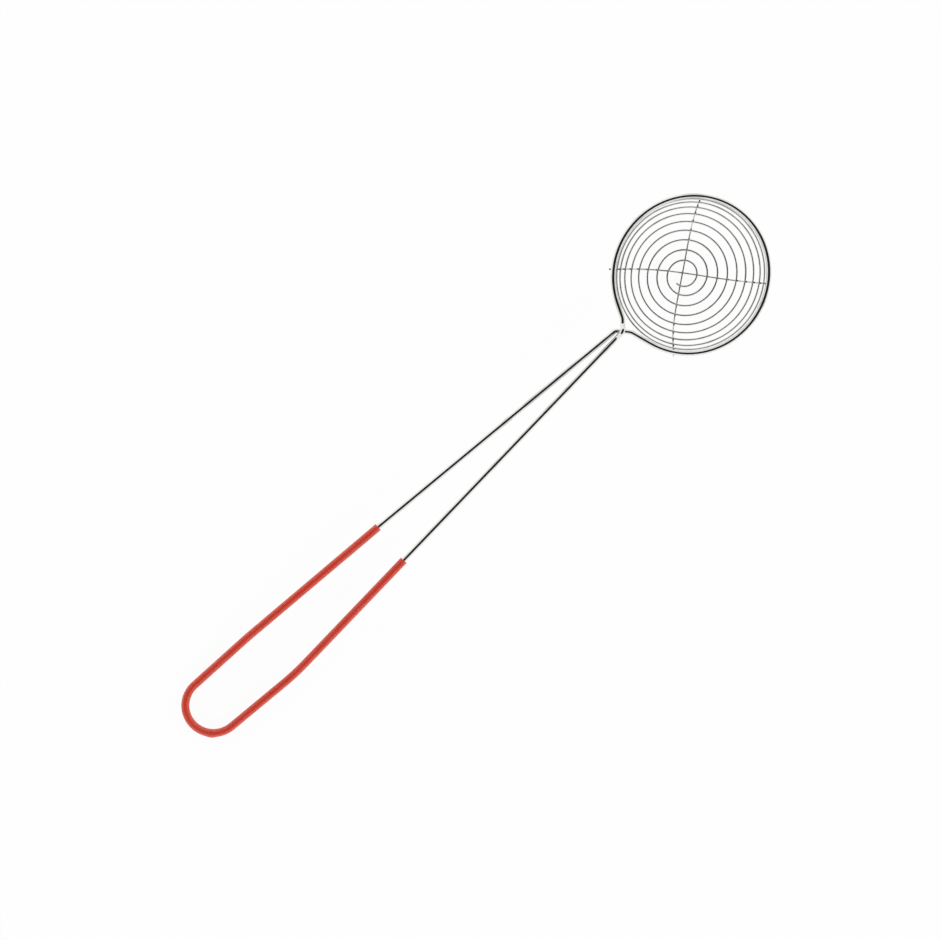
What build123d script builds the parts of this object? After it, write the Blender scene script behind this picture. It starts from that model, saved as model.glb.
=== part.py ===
from build123d import *
import math
import os

# Spider skimmer: a spiral wire basket in a wire hoop, on a two-legged wire
# handle with a plastic sleeve. Lengths are in millimetres, angles in degrees.
# The hoop and the handle lie in one flat plane. Points are worked out in that
# plane first: +X from the end bend to the hoop, +Y to the left, +Z out of the
# open side of the bowl. The plane then tilts, so that the skimmer lies on its
# end bend and on the bottom of its bowl, as it does on a table.

# Frame wire: hoop, neck, legs and end bend
wire_diameter = 3.0
hoop_length = 94.2
hoop_width = 91.4
handle_reach = 379.4
foot_radius = 6.0
hoop_pieces = 10

# Neck, where the two legs cross once, one over the other
neck_stand = 5.5
neck_angle = 177.23
left_foot_ahead = 5.03
left_foot_side = 5.41
right_foot_ahead = 3.4
right_foot_side = 3.61
over_rise = 2.9
under_drop = 1.0
over_climb_run = 4.1
over_crest_run = 1.1
under_crest_run = 1.8
over_corner_back = 1.2
over_corner_side = 0.3
under_corner_back = 3.0
under_corner_side = 3.0
over_ramp_length = 3.6
under_ramp_length = 7.0
neck_radius = 2.3
over_ramp_radius = 4.0
under_ramp_radius = 8.0

# Legs and end bend
bend_radius = 16.5
left_straight = 42.0
mouth_reach = 140.5
mouth_side = 13.3
right_splay = 2.4
splay_reach = 48.1
butt_reach = 88.5
butt_gap = 0.6
gentle_radius = 150.0
mouth_radius = 60.0

# Plastic sleeve on the handle
sleeve_diameter = 4.8
sleeve_clearance = 0.06
left_mouth_reach = 142.7
right_mouth_reach = 140.9

# Bowl and its spiral wire
bowl_depth = 22.0
bowl_fullness = 4.0
spiral_diameter = 1.2
spiral_start_angle = 182.0
spiral_start_radius = 4.95
spiral_spacing = 6.36
spiral_turns = 8.854
spiral_tail = 1.85
tail_turns = 0.42
spiral_seat = 1.3
steps_per_turn = 4

# Cross arms: two wires under the spiral, one passing under the other
arm_diameter = 1.0
arm_clearance = 0.1
hoop_clearance = 0.15
arm_step = 3.0
arm_nudge = 0.5
shown_end_run = 0.5
hidden_end_run = -1.6
cross_ahead = 0.2
cross_side = 1.8
upper_front_angle = 41.6
upper_back_angle = 217.0
upper_arm_sway = 0.2
lower_front_angle = 311.0
lower_back_angle = 133.4
lower_arm_sway = 0.75

# Values that follow from the sizes
wire_radius = wire_diameter / 2
sleeve_radius = sleeve_diameter / 2
spiral_radius = spiral_diameter / 2
arm_radius = arm_diameter / 2
hoop_radius = (hoop_length + hoop_width) / 4
up = Vector(0, 0, 1)
hoop_centre = Vector(handle_reach, 0, 0)
cross = hoop_centre + Vector(cross_ahead, cross_side, 0)
arm_drop = spiral_radius + arm_radius + arm_clearance
arm_lap = arm_diameter + arm_clearance
end_drop = wire_radius + arm_radius + hoop_clearance
spiral_end_radius = hoop_radius - spiral_seat
crowding_share = 1 - (spiral_end_radius - spiral_start_radius) / (spiral_spacing * spiral_turns)


def turned(angle):
    """Unit vector in the flat plane at an angle from +X."""
    return Vector(math.cos(math.radians(angle)), math.sin(math.radians(angle)), 0)


def hoop_point(angle):
    """Point of the hoop's centre line at an angle round the hoop."""
    out = turned(angle)
    return hoop_centre + Vector(out.X * hoop_length / 2, out.Y * hoop_width / 2, 0)


def hoop_heading(angle):
    """Direction of the hoop's centre line towards larger angles."""
    out = turned(angle)
    return Vector(-out.Y * hoop_length, out.X * hoop_width, 0).normalized()


def touch_angle(point, sense):
    """Angle round the hoop where a straight line from a point outside touches it."""
    out = point - hoop_centre
    reach = math.hypot(out.X / hoop_length, out.Y / hoop_width) * 2
    middle = math.atan2(out.Y / hoop_width, out.X / hoop_length)
    return math.degrees(middle + sense * math.acos(1 / reach)) % 360


def bowl_sink(share):
    """Depth of the bowl below the hoop at a share of the hoop's radius."""
    return bowl_depth * (1 - min(share, 1) ** bowl_fullness)


def bowl_point(radius, angle):
    """Point of the bowl's surface at a radius and an angle round its middle."""
    share = radius / hoop_radius
    return hoop_centre + (hoop_point(angle) - hoop_centre) * share - up * bowl_sink(share)


def surface_over(flat):
    """Point of the bowl's surface over a point of the flat plane."""
    out = flat - hoop_centre
    share = math.hypot(out.X / hoop_length, out.Y / hoop_width) * 2
    return Vector(flat.X, flat.Y, -bowl_sink(share))


def bowl_normal(flat):
    """Unit normal of the bowl's surface, on its open side, over a point of the flat plane."""
    out = flat - hoop_centre
    share = math.hypot(out.X / hoop_length, out.Y / hoop_width) * 2
    slope = bowl_depth * bowl_fullness * share ** (bowl_fullness - 2) * 4
    return Vector(-out.X * slope / hoop_length**2, -out.Y * slope / hoop_width**2, 1).normalized()


def spiral_point(turns):
    """Point of the spiral's centre line after a number of turns from its inner end."""
    crowding = 1 - crowding_share * (turns / spiral_turns) ** 2
    tail = spiral_tail * max(1 - turns / tail_turns, 0) ** 2
    radius = spiral_start_radius + spiral_spacing * turns * crowding + tail
    return bowl_point(radius, spiral_start_angle + 360 * turns)


def spiral_nodes():
    """Points and headings of the spiral, evenly spaced, from its inner to its outer end."""
    steps = math.ceil(spiral_turns * steps_per_turn)
    nodes = []
    for step in range(steps + 1):
        turns = spiral_turns * step / steps
        nudge = spiral_turns / steps / 100
        run = spiral_point(turns + nudge) - spiral_point(turns - nudge)
        nodes.append((spiral_point(turns), run.normalized()))
    return nodes


def arm_point(front, back, sway, run):
    """Point of an arm in the flat plane, a run along it from its back end.

    The arm bows to pass through the cross, and sways to one side and then the other.
    """
    start = hoop_point(back)
    way = hoop_point(front) - start
    along = way.normalized()
    across = up.cross(along)
    cross_turn = math.pi * (cross - start).dot(along) / way.length
    bow = ((cross - start).dot(across) - sway * math.sin(2 * cross_turn)) / math.sin(cross_turn)
    turn = math.pi * run / way.length
    return start + along * run + across * (bow * math.sin(turn) + sway * math.sin(2 * turn))


def arm_crossings(front, back, sway):
    """Runs along an arm, from its back end on the hoop, where it crosses the spiral."""
    start = hoop_point(back)
    along = (hoop_point(front) - start).normalized()
    across = up.cross(along)
    runs = []
    for sample in range(math.floor(spiral_turns * 360) + 1):
        point = spiral_point(sample / 360)
        run = (point - start).dot(along)
        side = (point - arm_point(front, back, sway, run)).dot(across)
        if sample > 0 and side * last_side < 0:
            runs.append((run + last_run) / 2)
        last_run, last_side = run, side
    return sorted(runs)


def arm_end(angle, run):
    """Point and heading of an arm's end, a run up past its nearest place to the hoop."""
    out = hoop_heading(angle).cross(up)
    wall = math.atan(bowl_depth * bowl_fullness / hoop_radius)
    rise = out * math.cos(wall) + up * math.sin(wall)
    away = out * math.sin(wall) - up * math.cos(wall)
    return hoop_point(angle) + away * end_drop + rise * run, rise


def arm_nodes(front, back, sway, lap):
    """Points and headings of an arm's wire, from its back end to its front end.

    It runs under the spiral, and lower by a lap where it passes the cross.
    """
    start = hoop_point(back)
    cross_run = (cross - start).dot((hoop_point(front) - start).normalized())
    runs = arm_crossings(front, back, sway)
    span = max(following - run for run, following in zip(runs, runs[1:]))

    def under(run):
        """Point of the wire's centre line at a run along the arm."""
        flat = arm_point(front, back, sway, run)
        away = min(abs(run - cross_run) / (span / 2), 1)
        drop = arm_drop + lap * math.cos(math.radians(90 * away)) ** 2
        return surface_over(flat) - bowl_normal(flat) * drop

    stops = []
    for first, last in ((runs[0], cross_run), (cross_run, runs[-1])):
        steps = math.ceil((last - first) / arm_step)
        stops += [first + (last - first) * step / steps for step in range(steps)]
    stops.append(runs[-1])
    nodes = [(under(run), (under(run + arm_nudge) - under(run - arm_nudge)).normalized()) for run in stops]
    back_end, rise = arm_end(back, shown_end_run)
    return [(back_end, -rise)] + nodes + [arm_end(front, hidden_end_run)]


def lie_angle(point):
    """Tilt that brings an arm's point down to the ground while the end bend lies on it."""
    drop = arm_radius - point.Z
    reach = bend_radius + point.X
    return math.atan2(drop, reach) - math.asin(sleeve_radius / math.hypot(drop, reach))


def placed(*points):
    """Points of the flat plane's frame, moved into the skimmer's lie."""
    return [lying.from_local_coords(point) for point in points]


def add_arc(start, corner, end):
    """Adds the arc that touches start-corner at the start and corner-end at the end."""
    chord = end - start
    bulge = corner - (start + end) / 2
    lean = math.atan2(bulge.length, chord.length / 2)
    if lean < math.radians(0.01):
        Line(*placed(start, end))
    else:
        top = (start + end) / 2 + bulge.normalized() * chord.length / 2 * math.tan(lean / 2)
        ThreePointArc(*placed(start, top, end))


def add_turns(nodes):
    """Adds two touching arcs from each node to the next."""
    for (start, leaving), (end, arriving) in zip(nodes, nodes[1:]):
        gap = end - start
        both = leaving + arriving
        spread = 2 * (1 - leaving.dot(arriving))
        lead = gap.dot(both)
        if spread < 1e-9:
            reach = gap.dot(gap) / (2 * lead)
        else:
            reach = (math.sqrt(lead**2 + spread * gap.dot(gap)) - lead) / spread
        first = start + leaving * reach
        second = end - arriving * reach
        middle = (first + second) / 2
        add_arc(start, first, middle)
        add_arc(middle, second, end)


def least_self_gap(path, diameter, ends_meet=False):
    """Least gap between stretches of one tube that lie apart along its length."""
    wire = path.wire()
    count = math.ceil(wire.length / diameter * 2)
    points = [wire.position_at(step / count) for step in range(count + 1)]
    skip = 5
    least = wire.length
    for index, point in enumerate(points):
        stop = count + index - skip if ends_meet else count
        for other in points[index + skip:stop + 1]:
            if abs(other.X - point.X) < least and abs(other.Y - point.Y) < least:
                least = min(least, (other - point).length)
    return round(least - diameter, 3)


# Directions and points of the handle, in the flat plane
neck = hoop_point(neck_angle) + turned(neck_angle) * neck_stand
left_foot = neck + Vector(left_foot_ahead, left_foot_side, 0)
right_foot = neck + Vector(right_foot_ahead, -right_foot_side, 0)
left_angle = touch_angle(left_foot, -1)
right_angle = touch_angle(right_foot, 1)
over_corner = neck + Vector(-over_corner_back, -over_corner_side, over_rise)
under_corner = neck + Vector(-under_corner_back, under_corner_side, -under_drop)
left_way = (left_foot - neck).normalized()
right_way = (right_foot - neck).normalized()
over_climb = neck + left_way * over_climb_run
over_crest = neck + left_way * over_crest_run + up * over_rise
under_crest = neck + right_way * under_crest_run - up * under_drop
mouth_corner = Vector(mouth_reach, mouth_side, 0)
left_corner = Vector(left_straight, bend_radius, 0)
splay_slope = math.tan(math.radians(right_splay))
bend_end = turned(270 - right_splay) * bend_radius
splay_corner = bend_end + Vector(1, -splay_slope, 0) * (splay_reach - bend_end.X)
over_flat = Vector(over_corner.X, over_corner.Y, 0)
under_flat = Vector(under_corner.X, under_corner.Y, 0)
right_leg = (over_flat - splay_corner).normalized()
left_leg = (under_flat - mouth_corner).normalized()
over_ramp = over_flat - right_leg * over_ramp_length
under_ramp = under_flat - left_leg * under_ramp_length
butt = splay_corner + right_leg * (butt_reach - splay_reach)
bend_top = Vector(0, bend_radius, 0)


def add_end_bend():
    """Adds the end bend's arc, from the left leg round to the right one."""
    ThreePointArc(*placed(bend_top, turned(180 - right_splay / 2) * bend_radius, bend_end))


def hoop_nodes():
    """Points and headings of the hoop, from its left foot round the front to its right foot."""
    sweep_angle = 360 + left_angle - right_angle
    nodes = []
    for piece in range(hoop_pieces + 1):
        angle = left_angle - sweep_angle * piece / hoop_pieces
        nodes.append((hoop_point(angle), -hoop_heading(angle)))
    return nodes


# The two arms; the lower one passes under the upper one
arms = {
    "upper_arm_wire": arm_nodes(upper_front_angle, upper_back_angle, upper_arm_sway, 0),
    "lower_arm_wire": arm_nodes(lower_front_angle, lower_back_angle, lower_arm_sway, arm_lap),
}

# The skimmer's lie: the end bend and the bottom of the bowl touch the ground
tilt = max(lie_angle(point) for nodes in arms.values() for point, _ in nodes)
head_end = (handle_reach + hoop_length / 2) * math.cos(tilt) + wire_radius
tail_end = -bend_radius * math.cos(tilt) - sleeve_radius
lying = Plane(
    origin=(-(head_end + tail_end) / 2, 0, sleeve_radius + bend_radius * math.sin(tilt)),
    x_dir=(math.cos(tilt), 0, math.sin(tilt)),
    z_dir=(-math.sin(tilt), 0, math.cos(tilt)),
)


def end_plane(path):
    """Plane across the start of a path."""
    return Plane(origin=path.wire() @ 0, z_dir=path.wire() % 0)


# Frame wire: one length, whose two ends meet inside the sleeve
with BuildPart() as frame_wire:
    with BuildLine() as frame_path:
        FilletPolyline(
            placed(butt, over_ramp, over_corner, over_crest, over_climb, left_foot, hoop_point(left_angle)),
            radius=(over_ramp_radius, neck_radius, neck_radius, neck_radius, foot_radius),
        )
        add_turns(hoop_nodes())
        FilletPolyline(
            placed(hoop_point(right_angle), right_foot, under_crest, under_corner, under_ramp)
            + placed(mouth_corner, left_corner, bend_top),
            radius=(
                foot_radius,
                under_ramp_radius,
                neck_radius,
                under_ramp_radius,
                mouth_radius,
                gentle_radius,
            ),
        )
        add_end_bend()
        FilletPolyline(placed(bend_end, splay_corner, butt - right_leg * butt_gap), radius=gentle_radius)
    with BuildSketch(end_plane(frame_path)):
        Circle(wire_radius)
    sweep(path=frame_path.wire())

# Grip sleeve: a plastic tube pushed along the handle and round its end bend
with BuildPart() as grip_sleeve:
    with BuildLine() as sleeve_path:
        left_mouth = mouth_corner + left_leg * (left_mouth_reach - mouth_reach)
        left_points = placed(left_mouth, mouth_corner, left_corner, bend_top)
        FilletPolyline(left_points, radius=(mouth_radius, gentle_radius))
        add_end_bend()
        right_mouth = splay_corner + right_leg * (right_mouth_reach - splay_reach)
        FilletPolyline(placed(bend_end, splay_corner, right_mouth), radius=gentle_radius)
    with BuildSketch(end_plane(sleeve_path)):
        Circle(sleeve_radius)
        Circle(wire_radius + sleeve_clearance, mode=Mode.SUBTRACT)
    sweep(path=sleeve_path.wire())

# Spiral wire: one length, from its inner end out to the last turn against the hoop
with BuildPart() as spiral_wire:
    with BuildLine() as spiral_path:
        add_turns(spiral_nodes())
    with BuildSketch(end_plane(spiral_path)):
        Circle(spiral_radius)
    sweep(path=spiral_path.wire())

os.makedirs("parts", exist_ok=True)
for name, piece in (("frame_wire", frame_wire), ("grip_sleeve", grip_sleeve), ("spiral_wire", spiral_wire)):
    piece.part.label = name
    export_step(piece.part, f"parts/{name}.step")

# Cross arms: each is one length, from one side of the hoop to the other
for name, nodes in arms.items():
    with BuildPart() as arm:
        with BuildLine() as arm_path:
            add_turns(nodes)
        with BuildSketch(end_plane(arm_path)):
            Circle(arm_radius)
        sweep(path=arm_path.wire())
    arm.part.label = name
    export_step(arm.part, f"parts/{name}.step")
    print(name, "gap to itself", least_self_gap(arm_path, arm_diameter))

print("frame wire gap to itself", least_self_gap(frame_path, wire_diameter, ends_meet=True))
print("spiral wire gap to itself", least_self_gap(spiral_path, spiral_diameter))
print("tilt", round(math.degrees(tilt), 3), "crowding", round(crowding_share, 3))
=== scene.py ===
"""Spider skimmer: finishes, sleeve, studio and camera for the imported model."""

import logging
import math
from dataclasses import dataclass, field
from enum import Enum
from typing import Any

import bpy
from mathutils import Matrix, Vector
from mathutils.bvhtree import BVHTree


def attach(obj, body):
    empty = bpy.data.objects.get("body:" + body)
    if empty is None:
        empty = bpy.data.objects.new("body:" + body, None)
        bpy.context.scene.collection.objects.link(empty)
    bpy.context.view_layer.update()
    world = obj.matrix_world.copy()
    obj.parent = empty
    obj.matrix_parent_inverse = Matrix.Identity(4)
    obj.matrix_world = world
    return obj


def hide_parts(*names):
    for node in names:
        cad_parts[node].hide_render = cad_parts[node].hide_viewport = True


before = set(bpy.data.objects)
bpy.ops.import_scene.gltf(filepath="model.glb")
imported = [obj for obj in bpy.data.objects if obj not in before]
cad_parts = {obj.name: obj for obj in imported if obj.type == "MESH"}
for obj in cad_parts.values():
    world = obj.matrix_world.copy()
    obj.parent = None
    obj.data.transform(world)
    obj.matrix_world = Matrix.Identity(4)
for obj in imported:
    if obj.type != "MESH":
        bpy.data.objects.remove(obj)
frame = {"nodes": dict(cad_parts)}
log = logging.getLogger("skimmer")

Colour = tuple[float, float, float, float]

WHITE: Colour = (1.0, 1.0, 1.0, 1.0)
ARM_NODES = ("upper_arm_wire", "lower_arm_wire")
MERGE_REACH = 1e-6  # Corners closer than this, in metres, become one.


# Shader maths


class Signal:
    """A shader socket that takes part in Python expressions."""

    def __init__(self, maker: "NodeMaker", socket: bpy.types.NodeSocket | None) -> None:
        """Wraps a socket.

        Args:
            maker: The node maker of the socket's tree.
            socket: The output socket that the signal stands for, or None.
        """
        self.maker = maker
        self.socket = socket

    def _maths(self, operation: str, first: Any, second: Any, clamp: bool = False) -> "Signal":
        """Adds a Math node.

        Args:
            operation: The node's operation.
            first: The first value, a number or a signal.
            second: The second value, a number or a signal.
            clamp: Whether the result is held between 0 and 1.

        Returns:
            The node's result.
        """
        settings = {"operation": operation, "use_clamp": clamp}
        return self.maker.add("ShaderNodeMath", settings, {0: first, 1: second})

    def __add__(self, other: Any) -> "Signal":
        """self + other."""
        return self._maths("ADD", self, other)

    def __mul__(self, other: Any) -> "Signal":
        """self * other."""
        return self._maths("MULTIPLY", self, other)

    def __rsub__(self, other: Any) -> "Signal":
        """other - self."""
        return self._maths("SUBTRACT", other, self)

    def __truediv__(self, other: Any) -> "Signal":
        """self / other."""
        return self._maths("DIVIDE", self, other)

    def __pow__(self, other: Any) -> "Signal":
        """self ** other."""
        return self._maths("POWER", self, other)

    def held(self) -> "Signal":
        """self, held between 0 and 1."""
        return self._maths("ADD", self, 0.0, clamp=True)

    def step(self, low: float, high: float) -> "Signal":
        """A smooth step.

        Args:
            low: The value at which the step starts.
            high: The value at which it is complete.

        Returns:
            0 below low, 1 above high and a smooth rise between them.
        """
        settings = {"interpolation_type": "SMOOTHSTEP"}
        sockets = {"Value": self, "From Min": low, "From Max": high}
        return self.maker.add("ShaderNodeMapRange", settings, sockets)


class NodeMaker:
    """Adds nodes to one shader tree."""

    def __init__(self, tree: bpy.types.NodeTree) -> None:
        """Starts on an emptied tree.

        Args:
            tree: The node tree of a material or a world.
        """
        self.tree = tree
        tree.nodes.clear()

    def add(
        self, kind: str, settings: dict[str, Any], sockets: dict[Any, Any], out: Any = 0
    ) -> Signal:
        """Adds a node.

        Args:
            kind: The node's type.
            settings: Properties, set before the sockets.
            sockets: Values, signals or colours by socket name or number.
            out: The name or number of the output to return.

        Returns:
            The chosen output as a signal, which is empty for a node without outputs.
        """
        node = self.tree.nodes.new(kind)
        for name, value in settings.items():
            setattr(node, name, value)
        for name, value in sockets.items():
            if isinstance(value, Signal):
                self.tree.links.new(value.socket, node.inputs[name])
            else:
                node.inputs[name].default_value = value
        return Signal(self, node.outputs[out] if len(node.outputs) else None)

    def mix(self, share: Any, first: Any, second: Any) -> Signal:
        """Mixes two colours.

        Args:
            share: How much of the second colour shows, from 0 to 1.
            first: The first colour.
            second: The second colour.

        Returns:
            The mixed colour.
        """
        # The node has sockets for each kind of data; these are the numbers of its colours.
        share_in, first_in, second_in, mixed_out = 0, 6, 7, 2
        sockets = {share_in: share, first_in: first, second_in: second}
        return self.add("ShaderNodeMix", {"data_type": "RGBA"}, sockets, out=mixed_out)

    def place(self, scale: tuple[float, float, float] = (1.0, 1.0, 1.0)) -> Signal:
        """The object's own coordinates.

        Args:
            scale: How much each axis is stretched.

        Returns:
            The scaled coordinates.
        """
        own = self.add("ShaderNodeTexCoord", {}, {}, out="Object")
        return self.add("ShaderNodeMapping", {}, {"Vector": own, "Scale": scale})

    def noise(self, place: Signal, scale: float, detail: float, roughness: float) -> Signal:
        """Fractal noise.

        Args:
            place: Where it is read.
            scale: How many patches there are to the metre.
            detail: How many finer layers it has.
            roughness: How strong the finer layers are.

        Returns:
            The noise, from 0 to 1.
        """
        sockets = {"Vector": place, "Scale": scale, "Detail": detail, "Roughness": roughness}
        return self.add("ShaderNodeTexNoise", {}, sockets)

    def bump(self, height: Signal, depth: float, strength: float) -> Signal:
        """A bumped normal.

        Args:
            height: The relief, as a share of the depth.
            depth: The relief's depth in metres.
            strength: How much of it shows.

        Returns:
            The normal.
        """
        sockets = {"Height": height, "Distance": depth, "Strength": strength}
        return self.add("ShaderNodeBump", {}, sockets)

    def surface(self, sockets: dict[str, Any]) -> None:
        """Adds the Principled shader and the material's output.

        Args:
            sockets: The shader's values and signals by name.
        """
        shader = self.add("ShaderNodeBsdfPrincipled", {}, sockets)
        self.add("ShaderNodeOutputMaterial", {}, {"Surface": shader})


# Finishes


def new_material(name: str) -> tuple[bpy.types.Material, NodeMaker]:
    """Adds an empty material.

    Args:
        name: The material's name.

    Returns:
        The material and the node maker of its tree.
    """
    made = bpy.data.materials.new(name)
    made.use_nodes = True
    return made, NodeMaker(made.node_tree)


class Grain(Enum):
    """How coarse a wire's surface is: its roughness where bright and where dull."""

    POLISHED = (0.06, 0.16)
    DRAWN = (0.08, 0.20)
    DULL = (0.12, 0.26)


@dataclass(frozen=True)
class WireFinish:
    """Steel wire with faint die lines and a few duller patches and specks."""

    name: str
    bright: Colour
    dull: Colour
    grain: Grain
    patch_scale: float
    scratch_depth: float
    speck_ratio: float = 14.0
    patch_share: float = 0.7
    speck_share: float = 0.35
    line_stretch: tuple[float, float, float] = (0.35, 1.0, 1.0)
    line_scale: float = 2600.0
    line_roughness: float = 0.03
    speck_relief: float = 0.6

    def material(self) -> bpy.types.Material:
        """Builds the material.

        Returns:
            A metal whose colour, roughness and relief vary along the wire.
        """
        made, maker = new_material(self.name)
        place = maker.place()
        patches = maker.noise(place, self.patch_scale, detail=3.0, roughness=0.55)
        patches = patches.step(low=0.46, high=0.72)
        speck_scale = self.patch_scale * self.speck_ratio
        specks = maker.noise(place, speck_scale, detail=2.0, roughness=0.6)
        specks = specks.step(low=0.58, high=0.74)
        dulled = (patches * self.patch_share + specks * self.speck_share).held()
        drawn = maker.place(self.line_stretch)
        lines = maker.noise(drawn, self.line_scale, detail=1.0, roughness=0.4)
        relief = lines + specks * self.speck_relief
        smooth, rough = self.grain.value
        maker.surface(
            {
                "Base Color": maker.mix(dulled, self.bright, self.dull),
                "Metallic": 1.0,
                "Roughness": dulled * (rough - smooth) + lines * self.line_roughness + smooth,
                "Normal": maker.bump(relief, self.scratch_depth, strength=0.5),
            }
        )
        return made


HOOP_STEEL = WireFinish(
    name="plated_hoop_wire",
    bright=(0.82, 0.82, 0.80, 1.0),
    dull=(0.55, 0.55, 0.51, 1.0),
    grain=Grain.POLISHED,
    patch_scale=60.0,
    scratch_depth=0.000008,
)
SPIRAL_STEEL = WireFinish(
    name="plated_spiral_wire",
    bright=(0.78, 0.78, 0.76, 1.0),
    dull=(0.52, 0.52, 0.48, 1.0),
    grain=Grain.DRAWN,
    patch_scale=95.0,
    scratch_depth=0.000006,
)
ARM_STEEL = WireFinish(
    name="drawn_arm_wire",
    bright=(0.70, 0.70, 0.66, 1.0),
    dull=(0.42, 0.42, 0.37, 1.0),
    grain=Grain.DULL,
    patch_scale=210.0,
    scratch_depth=0.000005,
)


@dataclass(frozen=True)
class SleeveFinish:
    """Soft red plastic with a satin skin."""

    name: str = "red_sleeve_plastic"
    body: Colour = (0.60, 0.046, 0.021, 1.0)
    faded: Colour = (0.64, 0.062, 0.034, 1.0)
    roughness: float = 0.30
    pebble_depth: float = 0.00002
    cloud_scale: float = 46.0
    rub_stretch: tuple[float, float, float] = (0.12, 1.0, 1.0)
    rub_scale: float = 620.0
    pebble_scale: float = 2400.0
    swell_scale: float = 130.0
    cloud_fade: float = 0.55
    rub_fade: float = 0.25
    cloud_roughness: float = 0.05
    rub_roughness: float = 0.07
    pebble_roughness: float = 0.04
    pebble_relief: float = 0.25
    swell_relief: float = 3.0

    def material(self) -> bpy.types.Material:
        """Builds the material.

        Returns:
            A plastic with faint rub marks along the handle and a fine pebble.
        """
        made, maker = new_material(self.name)
        cloud = maker.noise(maker.place(), self.cloud_scale, detail=3.0, roughness=0.5)
        cloud = cloud.step(low=0.35, high=0.7)
        rubbed = maker.place(self.rub_stretch)
        rubs = maker.noise(rubbed, self.rub_scale, detail=2.0, roughness=0.6)
        rubs = rubs.step(low=0.56, high=0.74)
        pebble = maker.noise(maker.place(), self.pebble_scale, detail=2.0, roughness=0.5)
        swell = maker.noise(maker.place(), self.swell_scale, detail=1.0, roughness=0.4)
        fade = cloud * self.cloud_fade + rubs * self.rub_fade
        worn = cloud * self.cloud_roughness + rubs * self.rub_roughness
        relief = pebble * self.pebble_relief + swell * self.swell_relief
        maker.surface(
            {
                "Base Color": maker.mix(fade, self.body, self.faded),
                "Roughness": worn + pebble * self.pebble_roughness + self.roughness,
                "Normal": maker.bump(relief, self.pebble_depth, strength=0.8),
                "IOR": 1.5,
                "Specular IOR Level": 0.55,
                "Coat Weight": 0.25,
                "Coat Roughness": 0.28,
                "Subsurface Weight": 0.04,
                "Subsurface Radius": (0.0012, 0.0004, 0.0002),
            }
        )
        return made


@dataclass(frozen=True)
class WeldShadeFinish:
    """Rough metal of a small spot weld, painted near-black as the shade of the crevice where a
    turn meets a cross wire.
    """

    name: str = "weld_bead_painted_shade"
    # Painted shade: the near-black colour stands for the crevice's shadow at each crossing, and
    # the grey for a paler part of that shade.
    crevice_shade: Colour = (0.035, 0.033, 0.028, 1.0)
    paler_shade: Colour = (0.11, 0.105, 0.09, 1.0)
    patch_scale: float = 1400.0
    patch_depth: float = 0.00002
    patch_roughness: float = 0.2
    roughness: float = 0.45

    def material(self) -> bpy.types.Material:
        """Builds the material.

        Returns:
            A dull metal painted near-black as crevice shade, with greyer patches of paler painted
            shade and a grainy skin.
        """
        made, maker = new_material(self.name)
        patches = maker.noise(maker.place(), self.patch_scale, detail=2.0, roughness=0.5)
        greyed = patches.step(low=0.4, high=0.7)
        # The base colour is painted crevice shade between turn and cross wire.
        maker.surface(
            {
                "Base Color": maker.mix(greyed, self.crevice_shade, self.paler_shade),
                "Metallic": 0.6,
                "Roughness": patches * self.patch_roughness + self.roughness,
                "Normal": maker.bump(patches, self.patch_depth, strength=0.6),
            }
        )
        return made


def dress(piece: bpy.types.Object, finish: bpy.types.Material) -> None:
    """Gives a piece its material.

    Args:
        piece: The mesh object.
        finish: The material.
    """
    piece.data.materials.clear()
    piece.data.materials.append(finish)
    log.info("%s wears %s", piece.name, finish.name)


# The skimmer's lie


@dataclass(frozen=True)
class Lie:
    """How the flat plane of hoop and handle lies in the row frame, in metres and degrees."""

    bend_x: float = -0.204223
    bend_z: float = 0.003331
    tilt: float = 3.236

    def matrix(self) -> Matrix:
        """Turns points of the flat plane's frame into the row frame.

        Returns:
            The matrix; the frame's origin is the middle of the end bend.
        """
        turn = Matrix.Rotation(math.radians(-self.tilt), 4, "Y")
        return Matrix.Translation((self.bend_x, 0.0, self.bend_z)) @ turn


# Modelling by hand


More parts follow.
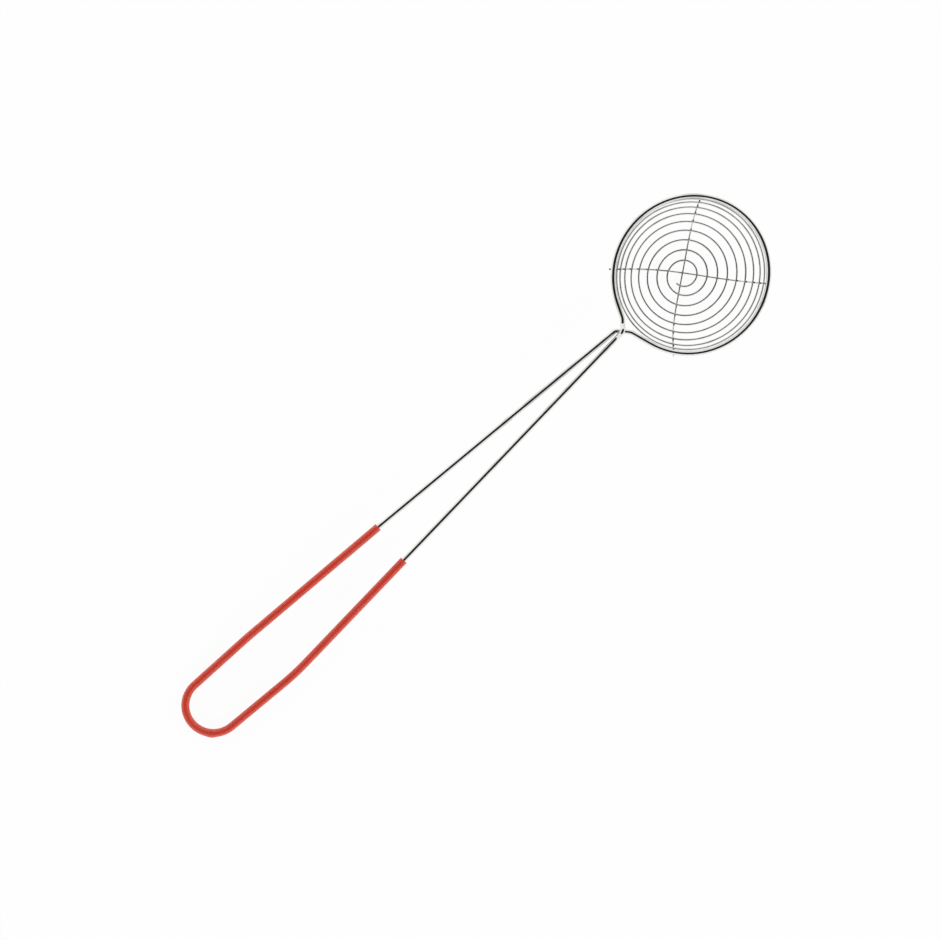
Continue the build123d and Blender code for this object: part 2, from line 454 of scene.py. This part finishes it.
class TubeModeller:
    """Draws a round skin along straight runs and turns, in the flat plane."""

    def __init__(
        self, name: str, radius: float, sides: int, start: Vector, heading: float
    ) -> None:
        """Adds the first ring.

        Args:
            name: The new object's name.
            radius: The skin's radius.
            sides: How many sides the ring has.
            start: The ring's middle.
            heading: The way it faces, in degrees from +X.
        """
        bpy.ops.object.select_all(action="DESELECT")
        turn = (math.pi / 2, 0.0, math.radians(heading) + math.pi / 2)
        bpy.ops.mesh.primitive_circle_add(
            vertices=sides, radius=radius, location=start, rotation=turn
        )
        self.piece = bpy.context.object
        self.piece.name = self.piece.data.name = name
        bpy.ops.object.transform_apply(location=True, rotation=True, scale=True)
        bpy.ops.object.mode_set(mode="EDIT")
        bpy.ops.mesh.select_all(action="SELECT")
        self.spot = start.copy()
        self.heading = heading

    def way(self) -> Vector:
        """Works out where the open end faces.

        Returns:
            The direction, of length 1.
        """
        angle = math.radians(self.heading)
        return Vector((math.cos(angle), math.sin(angle), 0.0))

    def run(self, length: float, steps: int) -> None:
        """Extrudes the open end straight on.

        Args:
            length: How far.
            steps: In how many pieces.
        """
        stride = self.way() * (length / steps)
        for _ in range(steps):
            bpy.ops.mesh.extrude_region_move(TRANSFORM_OT_translate={"value": stride})
            self.spot += stride

    def turn(self, angle: float, radius: float, steps: int) -> None:
        """Spins the open end round a centre on its left.

        Args:
            angle: How far it turns, in degrees; the spin operator counts it clockwise.
            radius: The middle line's radius.
            steps: In how many pieces.
        """
        centre = self.spot + Vector((0.0, 0.0, 1.0)).cross(self.way()) * radius
        bpy.ops.mesh.spin(
            steps=steps,
            angle=-math.radians(angle),
            center=centre,
            axis=(0.0, 0.0, 1.0),
            dupli=False,
        )
        self.spot = centre + Matrix.Rotation(math.radians(angle), 3, "Z") @ (self.spot - centre)
        self.heading += angle

    def finish(self) -> bpy.types.Object:
        """Closes the edit and leaves a skin whose faces point outwards.

        Returns:
            The object.
        """
        bpy.ops.mesh.select_all(action="SELECT")
        bpy.ops.mesh.remove_doubles(threshold=MERGE_REACH)
        bpy.ops.mesh.normals_make_consistent(inside=False)
        bpy.ops.object.mode_set(mode="OBJECT")
        return self.piece


def apply_modifier(piece: bpy.types.Object, kind: str, settings: dict[str, Any]) -> None:
    """Adds a modifier to a piece and applies it.

    Args:
        piece: The mesh object.
        kind: The modifier's type.
        settings: Its properties.
    """
    bpy.context.view_layer.objects.active = piece
    modifier = piece.modifiers.new(kind.title(), kind)
    for name, value in settings.items():
        setattr(modifier, name, value)
    bpy.ops.object.modifier_apply(modifier=modifier.name)


# Sub-assemblies


@dataclass
class GripSleeve:
    """The plastic tube over the end bend and the legs, in metres and degrees."""

    lie: Lie
    diameter: float = 0.0048
    wall: float = 0.00084
    bend_radius: float = 0.0165
    bend_turn: float = 177.6
    left_corner_turn: float = 1.861
    left_straight: float = 0.042
    left_run: float = 0.098552
    mouth_turn: float = 0.582
    mouth_radius: float = 0.060
    mouth_run: float = 0.0022
    gentle_radius: float = 0.150
    splay_run: float = 0.048834
    splay_turn: float = 6.667
    right_run: float = 0.0928
    mouth_start: tuple[float, float] = (0.142698, 0.013206)
    mouth_heading: float = 177.557
    sides: int = 40
    lip: float = 0.00022
    lip_segments: int = 3
    lip_angle: float = 50.0
    smooth_angle: float = 40.0
    crease_angle: float = 222.0
    crease_depth: float = 0.0005
    crease_size: float = 0.0062
    finish: SleeveFinish = field(default_factory=SleeveFinish)

    @staticmethod
    def _lead(radius: float, turn: float) -> float:
        """Works out how much of a straight run a rounded corner takes up.

        Args:
            radius: The corner's radius.
            turn: How far it turns, in degrees.

        Returns:
            The length taken from the run on either side.
        """
        return radius * math.tan(math.radians(turn / 2))

    def _skin(self) -> bpy.types.Object:
        """Draws the tube's outer skin from its left mouth to its right one.

        Returns:
            The skin, open at both mouths, in the flat plane.
        """
        mouth_lead = self._lead(self.mouth_radius, self.mouth_turn)
        left_lead = self._lead(self.gentle_radius, self.left_corner_turn)
        splay_lead = self._lead(self.gentle_radius, self.splay_turn)
        start = Vector((*self.mouth_start, 0.0))
        radius = self.diameter / 2
        tube = TubeModeller("sleeve_tube", radius, self.sides, start, self.mouth_heading)
        tube.run(self.mouth_run - mouth_lead, steps=1)
        tube.turn(self.mouth_turn, self.mouth_radius, steps=1)
        tube.run(self.left_run - mouth_lead - left_lead, steps=12)
        tube.turn(self.left_corner_turn, self.gentle_radius, steps=3)
        tube.run(self.left_straight - left_lead, steps=6)
        tube.turn(self.bend_turn, self.bend_radius, steps=40)
        tube.run(self.splay_run - splay_lead, steps=6)
        tube.turn(self.splay_turn, self.gentle_radius, steps=6)
        tube.run(self.right_run - splay_lead, steps=11)
        return tube.finish()

    def _crease(self, skin: bpy.types.Object) -> None:
        """Pulls out the blunt corner where the wire inside isn't bent quite round.

        Args:
            skin: The outer skin in the flat plane.
        """
        angle = math.radians(self.crease_angle)
        out = Vector((math.cos(angle), math.sin(angle), 0.0))
        tip = out * (self.bend_radius + self.diameter / 2)
        bpy.ops.object.mode_set(mode="EDIT")
        bpy.ops.mesh.select_all(action="DESELECT")
        bpy.ops.object.mode_set(mode="OBJECT")
        nearest = min(skin.data.vertices, key=lambda vertex: (vertex.co - tip).length)
        nearest.select = True
        bpy.ops.object.mode_set(mode="EDIT")
        bpy.ops.transform.translate(
            value=out * self.crease_depth,
            use_proportional_edit=True,
            proportional_edit_falloff="SHARP",
            proportional_size=self.crease_size,
        )
        bpy.ops.object.mode_set(mode="OBJECT")

    def build(self) -> bpy.types.Object:
        """Models the sleeve and puts it in place of its plain solid.

        Returns:
            The finished piece.
        """
        piece = self._skin()
        self._crease(piece)
        inwards = {"thickness": self.wall, "offset": -1.0, "use_even_offset": True}
        apply_modifier(piece, "SOLIDIFY", inwards)
        lip = {
            "width": self.lip,
            "segments": self.lip_segments,
            "limit_method": "ANGLE",
            "angle_limit": math.radians(self.lip_angle),
        }
        apply_modifier(piece, "BEVEL", lip)
        piece.matrix_world = self.lie.matrix()
        bpy.ops.object.transform_apply(location=True, rotation=True, scale=True)
        bpy.ops.object.shade_smooth_by_angle(angle=math.radians(self.smooth_angle))
        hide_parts("grip_sleeve")
        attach(piece, "root")
        dress(piece, self.finish.material())
        return piece


@dataclass
class WireWork:
    """The bent and wound wires, whose shapes are the model's own."""

    nodes: dict[str, bpy.types.Object]

    def build(self) -> None:
        """Gives each wire its finish."""
        for names, finish in (
            (("frame_wire",), HOOP_STEEL),
            (("spiral_wire",), SPIRAL_STEEL),
            (ARM_NODES, ARM_STEEL),
        ):
            material = finish.material()
            for name in names:
                dress(self.nodes[name], material)


@dataclass
class SpotWeldShadeBeads:
    """The small welds that hold the turns to the cross wires, one at each crossing, dark with
    painted shade of the crevice on each turn's outer side.

    Lengths are in metres. A crossing is where a turn comes within reach of a cross wire,
    and crossings less than apart from each other count as one. The bowl rises with the
    given power of the distance from its middle.
    """

    nodes: dict[str, bpy.types.Object]
    turns_node: str = "spiral_wire"
    reach: float = 0.00025
    stride: float = 0.00025
    apart: float = 0.0016
    radius: float = 0.00052
    flatness: float = 0.85
    subdivisions: int = 3
    squeeze: float = 0.00065
    hoop_middle: tuple[float, float] = (0.17457, 0.0)
    hoop_radius: float = 0.0464
    bowl_depth: float = 0.022
    bowl_power: int = 4
    finish: WeldShadeFinish = field(default_factory=WeldShadeFinish)

    def _samples(self, arm: bpy.types.Mesh) -> list[Vector]:
        """Places points along a cross wire's edges.

        Args:
            arm: The cross wire's mesh.

        Returns:
            The points, at most a stride apart.
        """
        samples = []
        for edge in arm.edges:
            start, end = [arm.vertices[index].co for index in edge.vertices]
            steps = math.ceil((end - start).length / self.stride)
            samples += [start.lerp(end, step / steps) for step in range(steps)]
        return samples

    def _crossings(self) -> list[Vector]:
        """Finds where a turn touches a cross wire.

        Returns:
            The middles of the places where the two skins come close.
        """
        turns = self.nodes[self.turns_node].data
        corners = [vertex.co for vertex in turns.vertices]
        tree = BVHTree.FromPolygons(corners, [list(face.vertices) for face in turns.polygons])
        groups: list[list[Vector]] = []
        arms = [self.nodes[name].data for name in ARM_NODES]
        for point in [point for arm in arms for point in self._samples(arm)]:
            nearest = tree.find_nearest(point, self.reach)[0]
            if nearest is None:
                continue
            near = [group for group in groups if (group[0] - point).length < self.apart]
            if near:
                near[0].append((point + nearest) / 2)
            else:
                groups.append([(point + nearest) / 2])
        return [sum(group, Vector()) / len(group) for group in groups]

    def _squeezed(self, spot: Vector) -> Vector:
        """Moves a weld up the bowl's wall, as far as the squeeze, to its turn's outer side, where
        its dark colour paints the crevice's shade.

        Args:
            spot: The place where the turn and the cross wire come close.

        Returns:
            The middle of the weld's bead.
        """
        out = Vector((spot.x - self.hoop_middle[0], spot.y - self.hoop_middle[1], 0.0))
        power = self.bowl_power
        slope = power * self.bowl_depth * out.length ** (power - 1) / self.hoop_radius**power
        wall = (out.normalized() + Vector((0.0, 0.0, slope))).normalized()
        return spot + wall * self.squeeze

    def build(self) -> bpy.types.Object:
        """Models the welds as one piece.

        Returns:
            The finished piece.
        """
        bpy.ops.object.select_all(action="DESELECT")
        beads = []
        # Each bead sits in the crevice on a turn's outer side and carries that crevice's painted
        # shade.
        for spot in self._crossings():
            bpy.ops.mesh.primitive_ico_sphere_add(
                subdivisions=self.subdivisions, radius=self.radius, location=self._squeezed(spot)
            )
            bead = bpy.context.object
            bead.scale.z = self.flatness
            beads.append(bead)
        for bead in beads:
            bead.select_set(True)
        bpy.ops.object.join()
        piece = bpy.context.object
        piece.name = piece.data.name = "weld_beads_painted_shade"
        bpy.ops.object.transform_apply(location=True, rotation=True, scale=True)
        bpy.ops.object.shade_smooth()
        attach(piece, "root")
        # The beads' near-black finish is painted shade of the crevice at each crossing.
        dress(piece, self.finish.material())
        log.info("%d spot welds", len(beads))
        return piece


# Studio


@dataclass
class PhotoCamera:
    """The camera, placed from the plane of hoop and handle as the photograph shows it.

    Lengths are in metres, angles in degrees, and the sensor's width in millimetres.
    """

    lie: Lie
    aim: tuple[float, float] = (0.2054, 0.0019)
    distance: float = 1.228
    lean: float = 6.54
    roll: float = 42.02
    frame_width: float = 0.5546
    sensor: float = 36.0

    def _leant(self) -> tuple[Vector, Vector]:
        """Leans the camera over to the handle's side, in the flat plane's frame.

        Returns:
            The direction across the handle and the one back to the camera.
        """
        lean = math.radians(self.lean)
        across = Vector((0.0, math.cos(lean), -math.sin(lean)))
        back = Vector((0.0, math.sin(lean), math.cos(lean)))
        return across, back

    def axes(self) -> tuple[Vector, Vector, Vector]:
        """The camera's directions in the flat plane's frame.

        Returns:
            Its right, its up and its back.
        """
        roll = math.radians(self.roll)
        along = Vector((1.0, 0.0, 0.0))
        across, back = self._leant()
        right = along * math.cos(roll) - across * math.sin(roll)
        up = along * math.sin(roll) + across * math.cos(roll)
        return right, up, back

    def row_axes(self) -> list[Vector]:
        """The camera's directions in the row frame.

        Returns:
            Its right, its up and its back.
        """
        return [self.lie.matrix().to_3x3() @ axis for axis in self.axes()]

    def build(self) -> None:
        """Adds the camera and makes it the scene's own."""
        right, up, back = self.axes()
        across, _ = self._leant()
        spot = Vector((self.aim[0], 0.0, 0.0)) + across * self.aim[1] + back * self.distance
        turn = Matrix((right, up, back)).transposed().to_4x4()
        bpy.ops.object.camera_add()
        camera = bpy.context.object
        camera.name = "photo_camera"
        camera.matrix_world = self.lie.matrix() @ Matrix.Translation(spot) @ turn
        camera.data.sensor_width = self.sensor
        camera.data.lens = self.sensor * self.distance / self.frame_width
        bpy.context.scene.camera = camera


@dataclass
class Studio:
    """A pale floor in a white tent, dark only round the opening that the camera looks through."""

    right: Vector
    up: Vector
    facing: Vector
    floor_size: float = 6.0
    floor_white: Colour = (0.95, 0.95, 0.945, 1.0)
    floor_glow: float = 0.95
    tent_light: float = 2.2
    dark_light: float = 0.02
    opening_width: float = 0.84
    opening_height: float = 0.70
    opening_edge: tuple[float, float] = (0.9, 1.15)
    opening_fade: tuple[float, float] = (0.0, 0.1)

    @staticmethod
    def _seen(maker: NodeMaker) -> Signal:
        """Says whether a ray shows a surface rather than lights it.

        Args:
            maker: The node maker of the floor's or the tent's tree.

        Returns:
            1 for rays of the camera, of reflections and of transmission, and 0 for others.
        """
        kinds = ("Is Camera Ray", "Is Glossy Ray", "Is Transmission Ray")
        camera, glossy, through = [
            maker.add("ShaderNodeLightPath", {}, {}, out=kind) for kind in kinds
        ]
        return (camera + glossy + through).held()

    def _opening(self, maker: NodeMaker) -> Signal:
        """Works out where the tent's opening is.

        Args:
            maker: The node maker of the world's tree.

        Returns:
            1 inside the opening, 0 outside it, and a soft edge between.
        """
        way = maker.add("ShaderNodeTexCoord", {}, {}, out="Generated")
        settings = {"operation": "DOT_PRODUCT"}
        across, along, facing = [
            maker.add("ShaderNodeVectorMath", settings, {0: way, 1: axis}, out="Value")
            for axis in (self.right, self.up, self.facing)
        ]
        spread = (across / self.opening_width) ** 2 + (along / self.opening_height) ** 2
        return (1 - spread.step(*self.opening_edge)) * facing.step(*self.opening_fade)

    def _world(self) -> None:
        """Lights the scene from all round, but for the dark opening."""
        world = bpy.data.worlds.new("tent")
        bpy.context.scene.world = world
        world.use_nodes = True
        maker = NodeMaker(world.node_tree)
        camera = maker.add("ShaderNodeLightPath", {}, {}, out="Is Camera Ray")
        opening = self._opening(maker) * (1 - camera)
        tent = self._seen(maker) * (1 - self.tent_light) + self.tent_light
        strength = tent * (1 - opening) + opening * self.dark_light
        light = maker.add("ShaderNodeBackground", {}, {"Color": WHITE, "Strength": strength})
        maker.add("ShaderNodeOutputWorld", {}, {"Surface": light})

    def _floor(self) -> None:
        """Adds the floor, which the camera and the metal see as nearly white."""
        bpy.ops.object.select_all(action="DESELECT")
        bpy.ops.mesh.primitive_plane_add(size=self.floor_size, location=(0.0, 0.0, 0.0))
        floor = bpy.context.object
        floor.name = "floor"
        made, maker = new_material("pale_floor")
        cloth = maker.add("ShaderNodeBsdfDiffuse", {}, {"Color": self.floor_white})
        glow = maker.add("ShaderNodeEmission", {}, {"Color": WHITE, "Strength": 1.0})
        share = self._seen(maker) * self.floor_glow
        both = maker.add("ShaderNodeMixShader", {}, {0: share, 1: cloth, 2: glow})
        maker.add("ShaderNodeOutputMaterial", {}, {"Surface": both})
        dress(floor, made)

    def build(self) -> None:
        """Sets up the floor, the light and the plain view settings."""
        self._world()
        self._floor()
        bpy.context.scene.view_settings.view_transform = "Standard"


def main() -> None:
    """Builds the dressed skimmer, its studio and its camera."""
    logging.basicConfig(level=logging.INFO, format="%(name)s: %(message)s")
    bpy.ops.object.select_all(action="DESELECT")
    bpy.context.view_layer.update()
    lie = Lie()
    WireWork(frame["nodes"]).build()
    SpotWeldShadeBeads(frame["nodes"]).build()
    GripSleeve(lie).build()
    camera = PhotoCamera(lie)
    camera.build()
    Studio(*camera.row_axes()).build()


if __name__ == "__main__":
    main()
